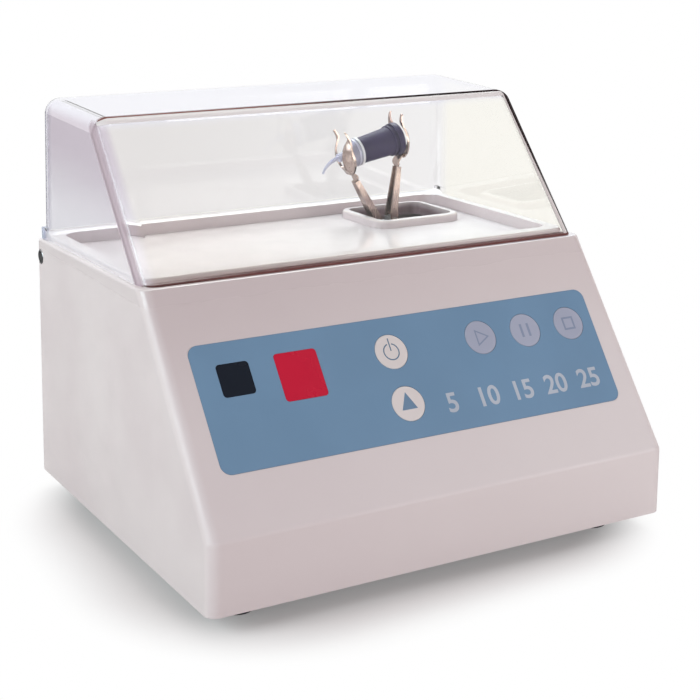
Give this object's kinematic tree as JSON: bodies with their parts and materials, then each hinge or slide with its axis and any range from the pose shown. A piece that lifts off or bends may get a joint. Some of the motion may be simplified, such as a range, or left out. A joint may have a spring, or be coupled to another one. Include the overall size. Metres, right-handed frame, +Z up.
{
  "type": "dental amalgamator",
  "caption": "Bench mixer with a sloping key panel and a clear hinged hood over a spring fork that shakes a capsule.",
  "frame": {"origin": "on the bench, under the middle of the case's box", "axes": "+X to the operator's right, -Y towards the operator, +Z up"},
  "size_m": [0.22, 0.1814, 0.1811],
  "materials": {
    "case_shell": "fine moulded texture",
    "clear_hood": "clear polished acrylic",
    "membrane_sheet": "printed polyester, fine satin texture",
    "key_white": "satin moulded",
    "key_grey": "satin moulded",
    "red_window": "translucent red filter",
    "dark_window": "dark filter",
    "capsule_dark": "moulded",
    "capsule_white": "moulded",
    "capsule_clear": "translucent moulded",
    "fork_sheet": "nickel-plated spring steel",
    "cast_alloy": "die cast",
    "bearing_steel": "ground",
    "sheet_steel": "zinc plated",
    "screw_steel": "zinc plated",
    "motor_paint": "dark enamel",
    "laminated_steel": "stamped laminations",
    "copper_wire": "enamelled winding",
    "bronze": "sintered bronze",
    "soft_rubber": "moulded rubber",
    "circuit_laminate": "coated laminate",
    "black_plastic": "moulded",
    "fuse_glass": "glass tube fuse"
  },
  "bodies": {
    "housing": {"case": "case_shell", "hood_sensor": "black_plastic", "hinge_pins": "screw_steel", "panel_sheet": "membrane_sheet", "display_window": "red_window", "indicator_window": "dark_window", "control_board": "circuit_laminate", "board_screws": "screw_steel", "key_switches": "black_plastic", "display_units": "black_plastic", "controller_chips": "black_plastic", "motor_can": "motor_paint", "motor_end_caps": "cast_alloy", "stator": "laminated_steel", "motor_screws": "screw_steel", "cradle": "sheet_steel", "outboard_bush": "bronze", "rubber_mounts": "soft_rubber", "mount_screws": "screw_steel", "spring_posts": "screw_steel", "steady_springs": "bearing_steel", "base_plate": "sheet_steel", "base_screws": "screw_steel", "feet": "soft_rubber", "foot_screws": "screw_steel", "foot_nuts": "screw_steel", "transformer_core": "laminated_steel", "transformer_winding": "copper_wire", "supply_board": "circuit_laminate", "supply_standoffs": "screw_steel", "supply_parts": "black_plastic", "inlet_body": "black_plastic", "inlet_pins": "bearing_steel", "inlet_screws": "screw_steel"},
    "hood": {"hood": "clear_hood", "hood_magnet": "screw_steel"},
    "rotor": {"motor_shaft": "bearing_steel", "rotor_core": "laminated_steel", "oblique_sleeve": "bearing_steel", "bearing_inner_ring": "bearing_steel", "bearing_circlip": "bearing_steel"},
    "fork": {"bearing_outer_ring": "bearing_steel", "bearing_balls": "bearing_steel", "bearing_cage": "bronze", "fork_hub": "cast_alloy", "arm_rivets": "screw_steel", "left_arm": "fork_sheet", "right_arm": "fork_sheet", "left_jaw": "fork_sheet", "right_jaw": "fork_sheet"},
    "capsule": {"capsule_body": "capsule_dark", "capsule_seal": "capsule_white", "capsule_cap": "capsule_clear"},
    "key_power": {"key_power": "key_white"},
    "key_select": {"key_select": "key_white"},
    "key_start": {"key_start": "key_grey"},
    "key_pause": {"key_pause": "key_grey"},
    "key_stop": {"key_stop": "key_grey"},
    "fuse_drawer": {"fuse_drawer": "black_plastic", "fuse": "fuse_glass"}
  },
  "joints": [
    {"name": "hood_hinge", "type": "hinge", "parent": "housing", "child": "hood", "pos_m": [0, 0.0847, 0.1106], "axis": [-1, 0, 0], "range_deg": [0, 95]},
    {"name": "motor_spin", "type": "hinge", "parent": "housing", "child": "rotor", "pos_m": [0.0619, 0.0573, 0.084], "axis": [1, 0, 0], "continuous": true},
    {"name": "fork_on_sleeve", "type": "hinge", "parent": "rotor", "child": "fork", "pos_m": [0.0619, 0.0573, 0.084], "axis": [0.977, 0, 0.213], "continuous": true, "deforming": ["steady_springs"]},
    {"name": "capsule_lift", "type": "slide", "parent": "fork", "child": "capsule", "axis": [-0.213, 0, 0.977], "range_m": [0, 0.015]},
    {"name": "key_power_press", "type": "slide", "parent": "housing", "child": "key_power", "axis": [0, 0.7951, -0.6065], "range_m": [0, 0.0005], "stiffness_N_per_m": 800, "springref_m": -0.001},
    {"name": "key_select_press", "type": "slide", "parent": "housing", "child": "key_select", "axis": [0, 0.7951, -0.6065], "range_m": [0, 0.0005], "stiffness_N_per_m": 800, "springref_m": -0.001},
    {"name": "key_start_press", "type": "slide", "parent": "housing", "child": "key_start", "axis": [0, 0.7951, -0.6065], "range_m": [0, 0.0005], "stiffness_N_per_m": 800, "springref_m": -0.001},
    {"name": "key_pause_press", "type": "slide", "parent": "housing", "child": "key_pause", "axis": [0, 0.7951, -0.6065], "range_m": [0, 0.0005], "stiffness_N_per_m": 800, "springref_m": -0.001},
    {"name": "key_stop_press", "type": "slide", "parent": "housing", "child": "key_stop", "axis": [0, 0.7951, -0.6065], "range_m": [0, 0.0005], "stiffness_N_per_m": 800, "springref_m": -0.001},
    {"name": "fuse_drawer_slide", "type": "slide", "parent": "housing", "child": "fuse_drawer", "axis": [0, 1, 0], "range_m": [0, 0.022]}
  ],
  "couplings": [
    {"joint": "fork_on_sleeve", "follows": "motor_spin", "ratio": -1}
  ]
}
